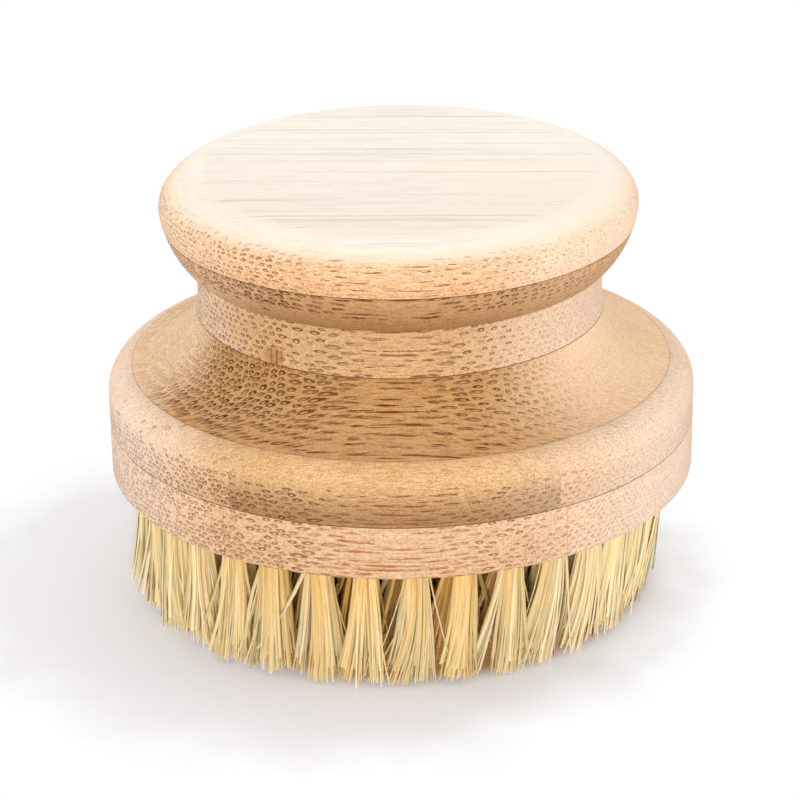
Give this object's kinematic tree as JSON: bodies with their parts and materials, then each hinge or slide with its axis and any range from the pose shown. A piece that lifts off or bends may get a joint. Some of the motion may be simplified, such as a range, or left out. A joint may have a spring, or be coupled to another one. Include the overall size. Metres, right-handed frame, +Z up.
{
  "type": "bamboo cleaning brush",
  "caption": "Round palm brush: a turned, laminated bamboo block with a mushroom knob grip over a coved base, set underneath with rings of plant-fibre tufts.",
  "frame": {"origin": "on the block's axis, in the plane of the bristle tips that the brush stands on", "axes": "+Z up along the turned block's axis, from the tips to the knob's flat top; +X along the bamboo's grain; +Y to the back of the pictured view"},
  "size_m": [0.09, 0.09, 0.067],
  "materials": {
    "bamboo_base_lower": "sanded bamboo, light pinkish tan, bundle dots on the end grain",
    "bamboo_base_upper": "sanded bamboo, honey tan with darker streaks",
    "bamboo_cove": "sanded bamboo, honey brown with dense dark bundle dots",
    "bamboo_neck": "sanded bamboo, light tan with sparse ring-shaped bundles",
    "bamboo_knob_lower": "sanded bamboo, brown with dense dark bundle dots",
    "bamboo_knob_top": "sanded bamboo, pale cream face with thin straight grain lines, honey rim",
    "plant_fibre": "stiff untreated plant fibre, straw yellow to cream, matt"
  },
  "bodies": {
    "root": {"base_lower_strip_1": "bamboo_base_lower", "base_lower_strip_2": "bamboo_base_lower", "base_lower_strip_3": "bamboo_base_lower", "base_lower_strip_4": "bamboo_base_lower", "base_lower_strip_5": "bamboo_base_lower", "base_upper_strip_1": "bamboo_base_upper", "base_upper_strip_2": "bamboo_base_upper", "base_upper_strip_3": "bamboo_base_upper", "base_upper_strip_4": "bamboo_base_upper", "base_upper_strip_5": "bamboo_base_upper", "cove_strip_1": "bamboo_cove", "cove_strip_2": "bamboo_cove", "cove_strip_3": "bamboo_cove", "knob_lower_strip_1": "bamboo_knob_lower", "knob_lower_strip_2": "bamboo_knob_lower", "knob_lower_strip_3": "bamboo_knob_lower", "knob_top_strip_1": "bamboo_knob_top", "knob_top_strip_2": "bamboo_knob_top", "knob_top_strip_3": "bamboo_knob_top", "knob_top_strip_4": "bamboo_knob_top", "neck_strip_1": "bamboo_neck", "neck_strip_2": "bamboo_neck", "neck_strip_3": "bamboo_neck", "tuft_centre": "plant_fibre", "tuft_ring_1": "plant_fibre", "tuft_ring_2": "plant_fibre", "tuft_ring_3": "plant_fibre", "tuft_ring_4": "plant_fibre", "tuft_ring_5": "plant_fibre"}
  },
  "joints": []
}
